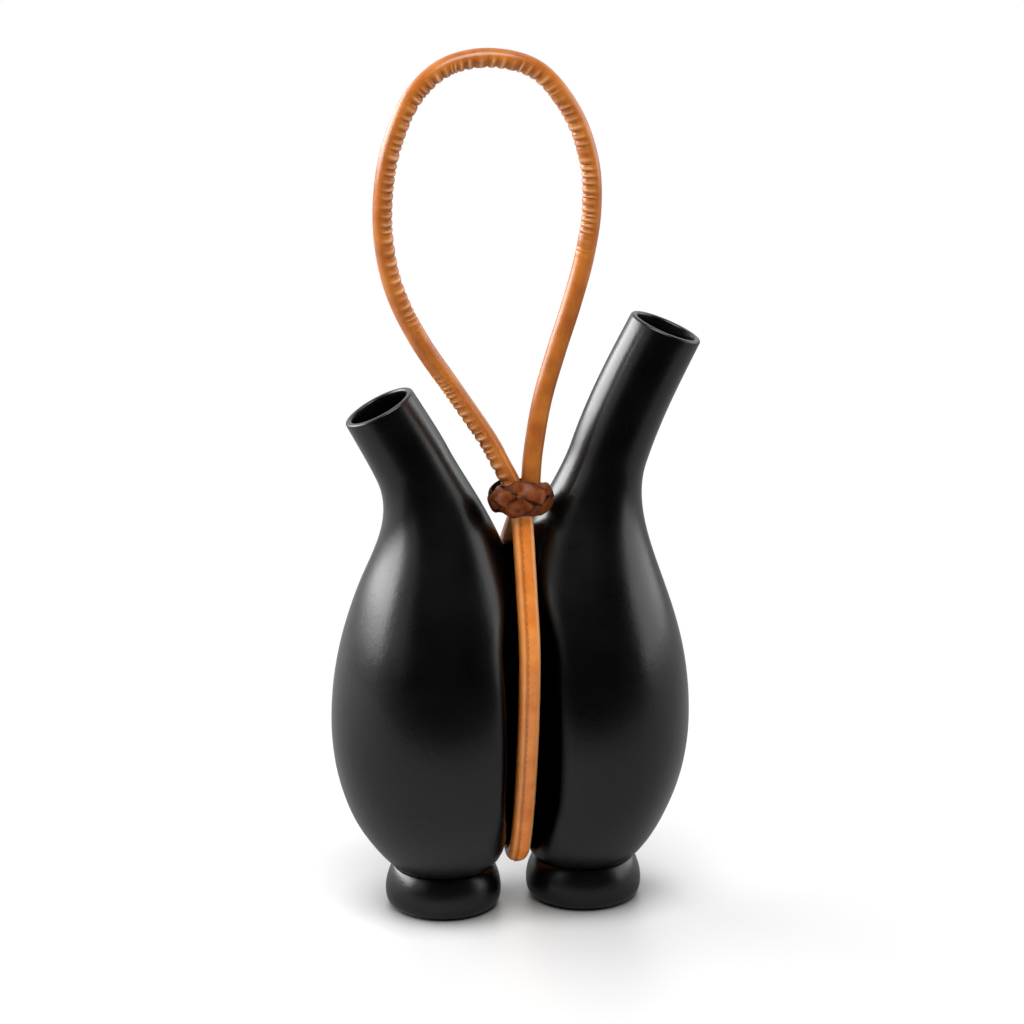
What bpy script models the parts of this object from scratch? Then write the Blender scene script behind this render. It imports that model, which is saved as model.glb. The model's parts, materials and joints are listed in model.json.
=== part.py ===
"""Double bottle vase with a knotted leather carrying loop.

Metres, +Z up, front towards -Y. Two hollow bottles are flat on the sides that face each other.
A web joins them and leaves a groove round it. A leather sling lies in the groove, tight round the web,
and goes up into a woven knot between the necks. An upright carrying loop stands in the knot.
"""

import math

import bmesh
import bpy
from mathutils import Vector
from mathutils.bvhtree import BVHTree
from mathutils.geometry import interpolate_bezier

# Clearances
SEAT_GAP = 0.0003            # left between pieces that touch
STRAND_GAP = 0.0004          # between the loop's two strands in the knot
KNOT_FIT = 0.0004            # between the strands and the knot round them

# Feet
FOOT_SPACING = 0.0730        # between the two foot axes
FOOT_SHIFT = 0.0014          # feet stand this far right under the bellies
FOOT_HEIGHT = 0.0220
FOOT_RADIUS = 0.0295         # at its fullest
FOOT_FULL_HEIGHT = 0.0088    # where it is fullest
FOOT_BASE_RADIUS = 0.0220    # flat that stands on the table
FOOT_PULL = 0.0062           # how long its side keeps that fullness
RIM_PULL = 0.0042            # how far the round of its upper edge carries
RECESS_RADIUS = 0.0140       # hollow turned out under the foot
RECESS_DEPTH = 0.0130

# Bottles
WAIST_RADIUS = 0.0254        # groove between foot and belly
BELLY_HEIGHT = 0.0770        # fullest place, above the foot
BELLY_RADIUS = 0.0548
BELLY_SHIFT = -0.0028        # middle between the bellies, left of the groove's middle
SETTLE_HEIGHT = 0.0300       # above the foot, where the middle line has come over the belly's axis
WAIST_FLARE = math.radians(42.0)
WAIST_PULL = 0.0080          # how far the flare at the waist carries
BELLY_PULL_DOWN = 0.0463     # how long the belly keeps its width below
BELLY_PULL_UP = 0.0663       # and above
NECK_START = 0.2167          # along the bottle, where the neck is a tube
NECK_PULL = 0.0378
NECK_RADIUS = 0.0195
MOUTH_RADIUS = 0.0186
LEFT_LENGTH = 0.2493         # along the middle line, from foot to mouth
RIGHT_LENGTH = 0.2860
LEFT_BEND_START = 0.1458     # along the bottle, where the lean into the neck begins
RIGHT_BEND_START = 0.1086
LEFT_BEND_END = 0.2356
RIGHT_BEND_END = 0.2807
LEFT_LEAN = math.radians(29.8)
RIGHT_LEAN = math.radians(26.8)
LEFT_MOUTH_TILT = math.radians(26.9)
RIGHT_MOUTH_TILT = math.radians(22.8)
LEFT_TURN = math.radians(-7.6)      # neck swings back from the line of the feet
RIGHT_TURN = math.radians(3.25)     # neck swings forward
WALL = 0.0033
FLOOR = 0.0050
LIP_ROUND = 0.0012

# Groove and web between the bottles
GROOVE_WIDTH = 0.0238        # between the flat sides
GROOVE_LOW_WIDTH = 0.0116    # at the feet
GROOVE_ROUND = 0.0100        # how far from the flat its rounded edge begins
FLAT_START = 0.0080          # above the foot, where the flattening is full
GROOVE_OPEN = 0.0500         # above the foot, where the groove has its full width
GROOVE_CLOSE = 0.1200        # along the bottle, where it begins to close
GROOVE_SHUT = 0.1720         # and where the bottles meet
WEB_LOW = 0.0288             # lowest place of the web, above the table
WEB_FULL_HEIGHT = 0.1380     # where it is deepest
WEB_HIGH = 0.1900
WEB_DEPTH = 0.0327           # from its middle to its front or back
WEB_LOW_PULL = 0.0120        # roundness of its lower tip
WEB_PULL_DOWN = 0.0380       # how long it keeps its depth below
WEB_PULL_UP = 0.0290         # and above
WEB_HIGH_PULL = 0.0130       # roundness of its upper tip

# Leather strap
LOOP_DIAMETER = 0.0097
SLING_WIDTH = 0.0106
SLING_THICKNESS = 0.0088
LEATHER = 0.0012             # skin round the cord core

# Knot, a single flat strand woven three times round with five bights
KNOT_FORWARD = 0.0125        # its place in front of the line of the feet
KNOT_BULGE = 0.0006          # fuller at half height than at its ends
STRIP_WIDTH = 0.0052
STRIP_THICKNESS = 0.0016
WEAVE_HEIGHT = 0.0110        # travel of the strand's middle, top to bottom
WEAVE_DEPTH = 0.0020         # travel of the strand's middle, out and in from the middle of the weave
WEAVE_HOLD = 0.45            # lower values hold a strand out or in for longer between crossings
STRIP_ROLL = 0.40            # tips the strip's edges over and under its neighbours
KNOT_LEADS = 3
KNOT_BIGHTS = 5
HINGE_RISE = 0.0016          # loop bends this far above the knot's top

# Loop's middle line, across and up from its hinge, from the left strand round to the right one
LOOP_ROUTE = (
    (-0.0100, 0.0100), (-0.0175, 0.0244), (-0.0345, 0.0508), (-0.0508, 0.0762), (-0.0623, 0.1011),
    (-0.0675, 0.1255), (-0.0677, 0.1495), (-0.0634, 0.1731), (-0.0532, 0.1963), (-0.0372, 0.2109),
    (-0.0152, 0.2149), (0.0078, 0.2079), (0.0247, 0.1872), (0.0335, 0.1629), (0.0351, 0.1388),
    (0.0317, 0.1147), (0.0253, 0.0907), (0.0176, 0.0665), (0.0107, 0.0422), (0.0063, 0.0164),
)

# Facets
BOTTLE_SIDES = 40
BORE_SIDES = 32
FOOT_SIDES = 36
STRAP_SIDES = 10
CORE_SIDES = 10
STRIP_SIDES = 8
STRIP_SQUARENESS = 0.6       # lower values square off the strip's section
LOW_STATIONS = 9             # sections of the belly below its fullest place
HIGH_STATIONS = 13           # and from there up to the neck
FOOT_STATIONS = 5
LIP_STATIONS = 3
NOSE_TURNS = (math.radians(0.0), math.radians(30.0), math.radians(55.0), math.radians(78.0))
BEND_STEPS = 48
CURVE_POINTS = 9
STEPS_PER_TURN = 40
SLING_STEP = 0.0050          # spacing of sections along the sling
LOOP_STEP = 0.0105           # and along the loop
SHARP_EDGE = math.radians(40.0)
WEB_STATIONS = 9             # points on each quarter of the web's outline
HALVINGS = 40

for old in list(bpy.data.objects):
    bpy.data.objects.remove(old, do_unlink=True)


def material(name, colour, roughness):
    """Plain material of one piece."""
    made = bpy.data.materials.new(name)
    made.use_nodes = True
    shader = made.node_tree.nodes["Principled BSDF"]
    shader.inputs["Base Color"].default_value = (*colour, 1.0)
    shader.inputs["Roughness"].default_value = roughness
    shader.inputs["Metallic"].default_value = 0.0
    return made


def place(name, bm, finish, parent):
    """Turn a bmesh into a named, smooth-shaded object."""
    mesh = bpy.data.meshes.new(name)
    bmesh.ops.recalc_face_normals(bm, faces=bm.faces)
    bm.to_mesh(mesh)
    bm.free()
    mesh.shade_smooth()
    mesh.set_sharp_from_angle(angle=SHARP_EDGE)
    mesh.materials.append(finish)
    made = bpy.data.objects.new(name, mesh)
    made.parent = parent
    bpy.context.collection.objects.link(made)
    return made


def empty(name, location, parent=None):
    """Marker that carries other objects."""
    made = bpy.data.objects.new(name, None)
    made.location = location
    made.parent = parent
    bpy.context.collection.objects.link(made)
    return made


def skin(rings, closed=False):
    """Skin a row of rings: capped at both ends, or closed on itself."""
    bm = bmesh.new()
    order = bm.verts.layers.int.new("order")
    bmesh.ops.create_circle(bm, segments=len(rings[0]), radius=1.0)
    bm.verts.ensure_lookup_table()
    for index, vert in enumerate(bm.verts):
        vert[order] = index
        vert.co = rings[0][index]
    first = bm.edges[:]
    edges = first
    for ring in rings[1:]:
        grown = bmesh.ops.extrude_edge_only(bm, edges=edges)["geom"]
        verts = {item for item in grown if isinstance(item, bmesh.types.BMVert)}
        for vert in verts:
            vert.co = ring[vert[order]]
        lines = [item for item in grown if isinstance(item, bmesh.types.BMEdge)]
        edges = [line for line in lines if verts.issuperset(line.verts)]
    if closed:
        bmesh.ops.bridge_loops(bm, edges=first + edges)
    else:
        bmesh.ops.edgeloop_fill(bm, edges=first)
        bmesh.ops.edgeloop_fill(bm, edges=edges)
    bmesh.ops.recalc_face_normals(bm, faces=bm.faces)
    return bm


def ease(share):
    """Smooth step from 0 to 1."""
    held = min(max(share, 0.0), 1.0)
    return held * held * (3.0 - 2.0 * held)


def ellipse(centre, across, along, wide, deep, sides):
    """Points of an ellipse with half sizes wide and deep."""
    turns = [2.0 * math.pi * index / sides for index in range(sides)]
    return [centre + across * (wide * math.cos(turn)) + along * (deep * math.sin(turn)) for turn in turns]


def half_groove(station):
    """Half the groove's width: narrow at the feet, full along the bellies, closed under the necks."""
    opened = ease(station / GROOVE_OPEN)
    closed = ease((station - GROOVE_CLOSE) / (GROOVE_SHUT - GROOVE_CLOSE))
    width = GROOVE_LOW_WIDTH + (GROOVE_WIDTH - GROOVE_LOW_WIDTH) * opened
    return (width + (SEAT_GAP - width) * closed) / 2.0


class Bottle:
    """Round sections on a middle line that stands upright and then leans out into the neck."""

    def __init__(self, side, length, bend_start, bend_end, lean, tilt, turn):
        self.side = side
        self.foot_axis = side * FOOT_SPACING / 2.0 + BELLY_SHIFT + FOOT_SHIFT
        self.length = length
        self.bend_start = bend_start
        self.bend_end = bend_end
        self.lean = lean
        self.tilt = tilt
        self.out = Vector((side * math.cos(turn), -math.sin(turn), 0.0))
        self.across = Vector((-self.out.y, self.out.x, 0.0))

    def bend(self, station):
        """Share of the lean reached at a station."""
        return ease((station - self.bend_start) / (self.bend_end - self.bend_start))

    def middle(self, station):
        """Point of the middle line, summed along the bend."""
        axis = self.foot_axis - FOOT_SHIFT * ease(station / SETTLE_HEIGHT)
        step = station / BEND_STEPS
        leans = [self.lean * self.bend((index + 0.5) * step) for index in range(BEND_STEPS)]
        outward = sum(math.sin(lean) for lean in leans) * step
        upward = sum(math.cos(lean) for lean in leans) * step
        return Vector((axis, 0.0, FOOT_HEIGHT + upward)) + self.out * outward

    def ring(self, station, radius, sides, inset=0.0):
        """One round section, square to the bottle's own lean, flattened an inset from the groove."""
        tilt = self.tilt * self.bend(station)
        face = self.out * math.cos(tilt) - Vector((0.0, 0.0, math.sin(tilt)))
        points = ellipse(self.middle(station), face, self.across, radius, radius, sides)
        flat = half_groove(station) + inset
        for point in points:
            past = flat - self.side * point.x
            near = max(GROOVE_ROUND - abs(past), 0.0)
            push = max(past, 0.0) + near * near / (4.0 * GROOVE_ROUND)
            point.x += self.side * push * ease(station / FLAT_START)
        return points

    def outline(self):
        """Stations and radii of the outside, from waist to mouth, without the lip."""
        waist = Vector((0.0, WAIST_RADIUS))
        flare = waist + WAIST_PULL * Vector((math.sin(WAIST_FLARE), math.cos(WAIST_FLARE)))
        full = Vector((BELLY_HEIGHT, BELLY_RADIUS))
        neck = Vector((NECK_START, NECK_RADIUS))
        below = Vector((BELLY_HEIGHT - BELLY_PULL_DOWN, BELLY_RADIUS))
        above = Vector((BELLY_HEIGHT + BELLY_PULL_UP, BELLY_RADIUS))
        joint = Vector((NECK_START - NECK_PULL, NECK_RADIUS))
        low = interpolate_bezier(waist, flare, below, full, LOW_STATIONS)
        high = interpolate_bezier(full, above, joint, neck, HIGH_STATIONS)
        return low + high[1:] + [Vector((self.length, MOUTH_RADIUS))]

    def lip(self, radius, inward):
        """Stations and radii of a rounded edge of the mouth, turning inward (1) or outward (-1)."""
        turns = [math.pi / 2.0 * index / (LIP_STATIONS - 1) for index in range(LIP_STATIONS)]
        return [(self.length - LIP_ROUND * (1.0 - math.sin(turn)),
                 radius - inward * LIP_ROUND * (1.0 - math.cos(turn))) for turn in turns]

    def outside(self):
        """Rings of the solid outer form."""
        rows = [*self.outline()[:-1], *self.lip(MOUTH_RADIUS, 1.0)]
        return [self.ring(station, radius, BOTTLE_SIDES) for station, radius in rows]

    def inside(self):
        """Rings of the hollow, a wall inside the outline and open past the mouth."""
        points = self.outline()
        walls = []
        for before, here, after in zip(points, points[1:], points[2:]):
            slope = (after - before).normalized()
            walls.append(here + WALL * Vector((slope.y, -slope.x)))
        walls = [point for point in walls if point.x > FLOOR]
        floor = (FLOOR, walls[0].y - (walls[0].x - FLOOR))
        lip = self.lip(MOUTH_RADIUS - WALL, -1.0)
        past = (self.length + LIP_ROUND, lip[-1][1])
        rows = [floor, *walls, *lip, past]
        return [self.ring(station, radius, BORE_SIDES, WALL) for station, radius in rows]


def web_side():
    """Depths and heights of the web's outline on one side, from its lowest place up to its highest."""
    low = Vector((0.0, WEB_LOW))
    full = Vector((WEB_DEPTH, WEB_FULL_HEIGHT))
    high = Vector((0.0, WEB_HIGH))
    down = full - Vector((0.0, WEB_PULL_DOWN))
    up = full + Vector((0.0, WEB_PULL_UP))
    rise = interpolate_bezier(low, low + Vector((WEB_LOW_PULL, 0.0)), down, full, WEB_STATIONS)
    close = interpolate_bezier(full, up, high + Vector((WEB_HIGH_PULL, 0.0)), high, WEB_STATIONS)
    return rise + close[1:]


def web_half(side):
    """One bottle's half of the web, from inside its flat wall to the groove's middle."""
    places = (side * (GROOVE_WIDTH + WALL) / 2.0, side * SEAT_GAP / 2.0)
    rear = web_side()
    outline = rear + [Vector((-point.x, point.y)) for point in rear[-2:0:-1]]
    return skin([[Vector((x, point.x, point.y)) for point in outline] for x in places])


def combine(piece, name, operation, bm):
    """Add or cut a form with a boolean."""
    tool = place(name, bm, BLACK_GLAZE, VASE)
    tool.hide_render = True
    tool.display_type = "WIRE"
    step = piece.modifiers.new(name, "BOOLEAN")
    step.operation = operation
    step.solver = "EXACT"
    step.object = tool


def bottle_piece(name, bottle):
    """Hollow bottle with its half of the web; gives search trees of its outside."""
    body = skin(bottle.outside())
    web = web_half(bottle.side)
    trees = [BVHTree.FromBMesh(body), BVHTree.FromBMesh(web)]
    piece = place(name, body, BLACK_GLAZE, VASE)
    combine(piece, name + "_web", "UNION", web)
    combine(piece, name + "_hollow", "DIFFERENCE", skin(bottle.inside()))
    return trees


def foot_piece(name, axis):
    """Turned foot with a hollow underside, its top just under the belly."""
    top = FOOT_HEIGHT - SEAT_GAP
    base = Vector((FOOT_BASE_RADIUS, 0.0))
    full = Vector((FOOT_RADIUS, FOOT_FULL_HEIGHT))
    rim = Vector((WAIST_RADIUS, top))
    rise = Vector((0.0, FOOT_PULL))
    spread = Vector((FOOT_PULL, 0.0))
    shoulder = Vector((RIM_PULL, -RIM_PULL)) * math.sqrt(0.5)
    side = interpolate_bezier(base, base + spread, full - rise, full, FOOT_STATIONS)
    side += interpolate_bezier(full, full + rise, rim + shoulder, rim, FOOT_STATIONS + 1)[1:]
    recess = [Vector((RECESS_RADIUS, RECESS_DEPTH)), Vector((RECESS_RADIUS, 0.0))]
    centre = Vector((axis, 0.0, 0.0))
    rings = []
    for point in recess + side:
        middle = centre + Vector((0.0, 0.0, point.y))
        rings.append(ellipse(middle, ACROSS, DEPTHWISE, point.x, point.x, FOOT_SIDES))
    return place(name, skin(rings), BLACK_GLAZE, VASE)


def room(trees, point):
    """Distance from a point to the nearest bottle, negative inside it."""
    least = math.inf
    for tree in trees:
        near, normal, _, distance = tree.find_nearest(point)
        least = min(least, math.copysign(distance, (point - near).dot(normal)))
    return least


def nearest_clear(clear, blocked, free):
    """Share between a blocked place and a free one where the way becomes clear."""
    for _ in range(HALVINGS):
        middle = (blocked + free) / 2.0
        if clear(middle):
            free = middle
        else:
            blocked = middle
    return free


def smooth_route(points, step):
    """Even points on a smooth curve through the given ones."""
    ends = [2.0 * points[0] - points[1], *points, 2.0 * points[-1] - points[-2]]
    dense = []
    for before, start, end, after in zip(ends, ends[1:], ends[2:], ends[3:]):
        leaving = start + (end - before) / 6.0
        arriving = end - (after - start) / 6.0
        dense += interpolate_bezier(start, leaving, arriving, end, CURVE_POINTS)[:-1]
    dense.append(points[-1])
    lengths = [0.0]
    for start, end in zip(dense, dense[1:]):
        lengths.append(lengths[-1] + (end - start).length)
    count = max(2, round(lengths[-1] / step))
    route = []
    leg = 0
    for index in range(count + 1):
        target = lengths[-1] * index / count
        while leg < len(dense) - 2 and lengths[leg + 1] < target:
            leg += 1
        share = (target - lengths[leg]) / (lengths[leg + 1] - lengths[leg])
        route.append(dense[leg].lerp(dense[leg + 1], min(max(share, 0.0), 1.0)))
    return route


def headings(route):
    """Direction of travel at each point of an open route."""
    ahead = route[1:] + [route[-1]]
    behind = [route[0]] + route[:-1]
    return [(end - start).normalized() for start, end in zip(behind, ahead)]


def tube_rings(route, flat, wide, thick, sides):
    """Sections along a route that lies in the plane square to flat."""
    return [ellipse(point, flat, flat.cross(way), wide / 2.0, thick / 2.0, sides)
            for point, way in zip(route, headings(route))]


def cover_piece(name, route, flat, wide, thick, parent):
    """Leather tube along a route, open at both ends."""
    outer = tube_rings(route, flat, wide, thick, STRAP_SIDES)
    inner = tube_rings(route, flat, wide - 2.0 * LEATHER, thick - 2.0 * LEATHER, STRAP_SIDES)
    return place(name, skin(outer + inner[::-1], closed=True), TAN_LEATHER, parent)


def core_rings(route, flat, wide, thick):
    """Sections of the cord that fills a leather tube, flush with its ends."""
    inset = 2.0 * (LEATHER + SEAT_GAP)
    return tube_rings(route, flat, wide - inset, thick - inset, CORE_SIDES)


def nose(ring, way, reach):
    """Rings that round off a cord, a reach beyond its last ring."""
    centre = sum(ring, Vector()) / len(ring)
    radius = (ring[0] - centre).length
    rings = []
    for turn in NOSE_TURNS:
        moved = centre + way * (reach - radius + radius * math.sin(turn))
        rings.append([moved + (point - centre) * math.cos(turn) for point in ring])
    return rings


def knot_point(turn):
    """Middle of the woven strand after a turn, on the knot's barrel, with its outward direction."""
    phase = KNOT_BIGHTS * turn / KNOT_LEADS
    height = WEAVE_HEIGHT / 2.0 * math.cos(phase)
    wave = math.sin(2.0 * phase)
    weave = WEAVE_DEPTH * wave * math.hypot(1.0, WEAVE_HOLD) / math.hypot(wave, WEAVE_HOLD)
    middle = knot_bore + WEAVE_DEPTH + STRIP_THICKNESS / 2.0
    radius = middle + KNOT_BULGE * math.sin(phase) ** 2 + weave
    out = Vector((math.cos(turn), math.sin(turn), 0.0))
    lean = (out - Vector((0.0, 0.0, STRIP_ROLL * math.sin(phase)))).normalized()
    return out * radius + Vector((0.0, 0.0, height)), lean


def knot_rings():
    """Flat sections of the strand, three times round."""
    count = STEPS_PER_TURN * KNOT_LEADS
    span = 2.0 * math.pi * KNOT_LEADS
    rings = []
    for index in range(count):
        turn = span * index / count
        point, lean = knot_point(turn)
        step = span / count
        way = (knot_point(turn + step)[0] - knot_point(turn - step)[0]).normalized()
        across = way.cross(lean).normalized()
        out = across.cross(way)
        ring = []
        for corner in range(STRIP_SIDES):
            angle = 2.0 * math.pi * (corner + 0.5) / STRIP_SIDES
            wide = math.copysign(abs(math.cos(angle)) ** STRIP_SQUARENESS, math.cos(angle))
            thick = math.copysign(abs(math.sin(angle)) ** STRIP_SQUARENESS, math.sin(angle))
            ring.append(point + across * (wide * STRIP_WIDTH / 2.0) + out * (thick * STRIP_THICKNESS / 2.0))
        rings.append(ring)
    return rings


def least_gap(rings):
    """Least distance from the strand to parts of it that lie a quarter turn or more further along."""
    count = len(rings)
    apart = STEPS_PER_TURN // 4
    least = math.inf
    for first, ring in enumerate(rings):
        rest = [rings[(first + step) % count] for step in range(apart, count - apart + 1)]
        points = [point for other in rest for point in other]
        faces = []
        for row in range(len(rest) - 1):
            for side in range(STRIP_SIDES):
                here = row * STRIP_SIDES + side
                after = row * STRIP_SIDES + (side + 1) % STRIP_SIDES
                faces.append((here, after, after + STRIP_SIDES, here + STRIP_SIDES))
        tree = BVHTree.FromPolygons(points, faces)
        least = min(least, min(tree.find_nearest(point)[3] for point in ring))
    return least


ACROSS = Vector((1.0, 0.0, 0.0))
DEPTHWISE = Vector((0.0, 1.0, 0.0))
BLACK_GLAZE = material("black_stoneware", (0.006, 0.006, 0.007), 0.42)
TAN_LEATHER = material("tan_leather", (0.56, 0.19, 0.035), 0.40)
BROWN_LEATHER = material("brown_leather", (0.13, 0.035, 0.008), 0.38)
CORD = material("cotton_cord", (0.62, 0.55, 0.42), 0.90)

VASE = empty("vase", (0.0, 0.0, 0.0))

# Bottles and feet
left = Bottle(-1.0, LEFT_LENGTH, LEFT_BEND_START, LEFT_BEND_END, LEFT_LEAN, LEFT_MOUTH_TILT, LEFT_TURN)
right = Bottle(1.0, RIGHT_LENGTH, RIGHT_BEND_START, RIGHT_BEND_END, RIGHT_LEAN, RIGHT_MOUTH_TILT, RIGHT_TURN)
bottles = bottle_piece("left_bottle", left) + bottle_piece("right_bottle", right)
foot_piece("left_foot", left.foot_axis)
foot_piece("right_foot", right.foot_axis)

# Knot: tight round the loop's two strands, lowered between the necks until it sits on them
strand_side = (LOOP_DIAMETER + STRAND_GAP) / 2.0
knot_bore = strand_side + LOOP_DIAMETER / 2.0 + KNOT_FIT
strand = knot_rings()
strand_points = [point for ring in strand for point in ring]


def knot_clear(height):
    """Whether the knot clears both necks at a height."""
    lift = Vector((0.0, -KNOT_FORWARD, height))
    return all(room(bottles, point + lift) > SEAT_GAP for point in strand_points)


knot_height = nearest_clear(knot_clear, FOOT_HEIGHT + BELLY_HEIGHT, FOOT_HEIGHT + LEFT_LENGTH)
knot_centre = Vector((0.0, -KNOT_FORWARD, knot_height))
placed_strand = [[point + knot_centre for point in ring] for ring in strand]
place("knot", skin(placed_strand, closed=True), BROWN_LEATHER, VASE)
knot_top = max(point.z for point in strand_points) + knot_height
print("least gap of the knot's strand to itself, mm:", round(1000.0 * least_gap(strand), 2))

# Sling: pulled tight round the web between the bottles, then up into the knot
hinge = Vector((0.0, -KNOT_FORWARD, knot_top + HINGE_RISE))
strand_offset = SLING_THICKNESS / 2.0 + SEAT_GAP
knot_foot = min(point.z for point in strand_points) + knot_height
nose_radius = LOOP_DIAMETER / 2.0 - LEATHER - SEAT_GAP
nose_reach = LOOP_DIAMETER / 2.0
noses = [Vector((side * strand_side, 0.0, nose_radius - nose_reach)) for side in (-1.0, 1.0)]


def ends_clear(drop):
    """Whether the sling's cut ends, a drop below the hinge, clear the loop's round ends above them."""
    middle = Vector((0.0, strand_offset, -drop))
    cut = ellipse(middle, ACROSS, DEPTHWISE, SLING_WIDTH / 2.0, SLING_THICKNESS / 2.0, BOTTLE_SIDES)
    return all((point - end).length > nose_radius + SEAT_GAP for point in cut for end in noses)


sling_top = hinge.z - nearest_clear(ends_clear, 0.0, 2.0 * nose_reach)


def tighten(points, side):
    """Pull points straight wherever they dip below the line between two others."""
    for index, point in enumerate(points):
        for before in points[:index]:
            for after in points[index + 1:]:
                share = (before.z - point.z) / (before.z - after.z)
                straight = before.y + (after.y - before.y) * share
                point.y = side * max(side * point.y, side * straight)


def fall(side):
    """Sling points from its end in the knot down one side of the web to its lowest place."""
    laid = [Vector((0.0, side * strand_offset - KNOT_FORWARD, knot_foot))]
    rise = web_side()
    ahead = [*rise[1:], Vector((-rise[-2].x, rise[-2].y))]
    behind = [Vector((-rise[1].x, rise[1].y)), *rise[:-1]]
    for here, before, after in reversed(list(zip(rise, behind, ahead))):
        along = (after - before).normalized()
        depth = here.x + strand_offset * along.y
        laid.append(Vector((0.0, side * depth, here.y - strand_offset * along.x)))
    tighten(laid, side)
    end = Vector((0.0, laid[0].y, sling_top))
    return [end, end.lerp(laid[0], 0.5), *laid]


sling_route = smooth_route([*fall(-1.0), *fall(1.0)[-2::-1]], SLING_STEP)
cover_piece("sling_cover", sling_route, ACROSS, SLING_WIDTH, SLING_THICKNESS, VASE)
place("sling_core", skin(core_rings(sling_route, ACROSS, SLING_WIDTH, SLING_THICKNESS)), CORD, VASE)

# Loop: stands on its hinge in the mouth of the knot
LOOP_HINGE = empty("loop_hinge", hinge, VASE)
loop_points = [(-strand_side, 0.0), *LOOP_ROUTE, (strand_side, 0.0)]
loop_route = smooth_route([Vector((point[0], 0.0, point[1])) for point in loop_points], LOOP_STEP)
cover_piece("loop_cover", loop_route, DEPTHWISE, LOOP_DIAMETER, LOOP_DIAMETER, LOOP_HINGE)
cord = core_rings(loop_route, DEPTHWISE, LOOP_DIAMETER, LOOP_DIAMETER)
ways = headings(loop_route)
cord = nose(cord[0], -ways[0], nose_reach)[::-1] + cord + nose(cord[-1], ways[-1], nose_reach)
place("loop_core", skin(cord), CORD, LOOP_HINGE)

# Stand the whole vase in the middle of its own frame
pieces = [item for item in bpy.data.objects if item.type == "MESH" and not item.hide_render]
bpy.context.view_layer.update()
widths = [(item.matrix_world @ vert.co).x for item in pieces for vert in item.data.vertices]
VASE.location.x = -(min(widths) + max(widths)) / 2.0
bpy.context.view_layer.update()
print("left foot axis, right foot axis, groove's middle, mm:",
      [round(1000.0 * (VASE.location.x + x), 2) for x in (left.foot_axis, right.foot_axis, 0.0)])
print("hinge, mm:", [round(1000.0 * value, 2) for value in LOOP_HINGE.matrix_world.translation])
print("knot height, sling top, mm:", round(1000.0 * knot_height, 2), round(1000.0 * sling_top, 2))
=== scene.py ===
import json
import math

import bmesh
import bpy
from mathutils import Matrix, Vector, noise
from mathutils.bvhtree import BVHTree
from mathutils.geometry import interpolate_bezier


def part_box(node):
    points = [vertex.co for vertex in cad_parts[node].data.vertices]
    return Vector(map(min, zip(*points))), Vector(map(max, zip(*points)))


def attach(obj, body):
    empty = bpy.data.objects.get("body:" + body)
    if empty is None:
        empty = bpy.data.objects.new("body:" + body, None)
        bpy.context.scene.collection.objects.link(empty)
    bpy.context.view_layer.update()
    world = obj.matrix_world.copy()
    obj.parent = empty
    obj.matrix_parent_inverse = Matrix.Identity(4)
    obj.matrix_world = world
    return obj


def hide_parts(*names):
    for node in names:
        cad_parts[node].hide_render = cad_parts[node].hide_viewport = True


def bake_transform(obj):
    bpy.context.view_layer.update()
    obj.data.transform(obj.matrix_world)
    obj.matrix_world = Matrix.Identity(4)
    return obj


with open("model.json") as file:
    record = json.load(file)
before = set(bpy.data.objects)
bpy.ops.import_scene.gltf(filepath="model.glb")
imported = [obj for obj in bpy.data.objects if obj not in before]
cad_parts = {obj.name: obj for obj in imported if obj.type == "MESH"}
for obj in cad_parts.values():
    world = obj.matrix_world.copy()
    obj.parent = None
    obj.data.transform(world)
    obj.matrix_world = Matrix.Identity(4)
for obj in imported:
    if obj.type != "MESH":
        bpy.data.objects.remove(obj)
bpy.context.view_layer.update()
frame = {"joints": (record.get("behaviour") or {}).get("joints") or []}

MM = 0.001
SEAT_GAP = 0.3 * MM          # between pieces that rest on each other
SHARP_ANGLE = math.radians(50.0)
ACROSS = Vector((1.0, 0.0, 0.0))
FRONT = Vector((0.0, -1.0, 0.0))

# Places taken from the solids
HINGE = Vector(frame["joints"][0]["pos_m"])
LEFT_FOOT = sum(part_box("left_foot"), Vector()) / 2.0
RIGHT_FOOT = sum(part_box("right_foot"), Vector()) / 2.0
KNOT_MIDDLE = sum(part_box("knot"), Vector()) / 2.0
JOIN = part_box("left_bottle")[1].x + SEAT_GAP / 2.0

# Feet
FOOT_HEIGHT = 22.0 * MM
FOOT_RADIUS = 29.5 * MM
FOOT_FULL_HEIGHT = 8.8 * MM  # where it is fullest
FOOT_BASE_RADIUS = 22.0 * MM
FOOT_PULL = 6.2 * MM         # how long its side keeps that fullness below
SHOULDER_PULL = 4.4 * MM     # and above
RIM_PULL = 2.6 * MM          # how far the round of its upper edge carries
FOOT_SHIFT = 1.4 * MM        # feet stand this far right under the bellies
RECESS_RADIUS = 14.0 * MM
RECESS_DEPTH = 13.0 * MM
WAIST_RADIUS = 25.4 * MM
FOOT_STATIONS = 18           # points on each half of its outline
FOOT_SIDES = 96

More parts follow.
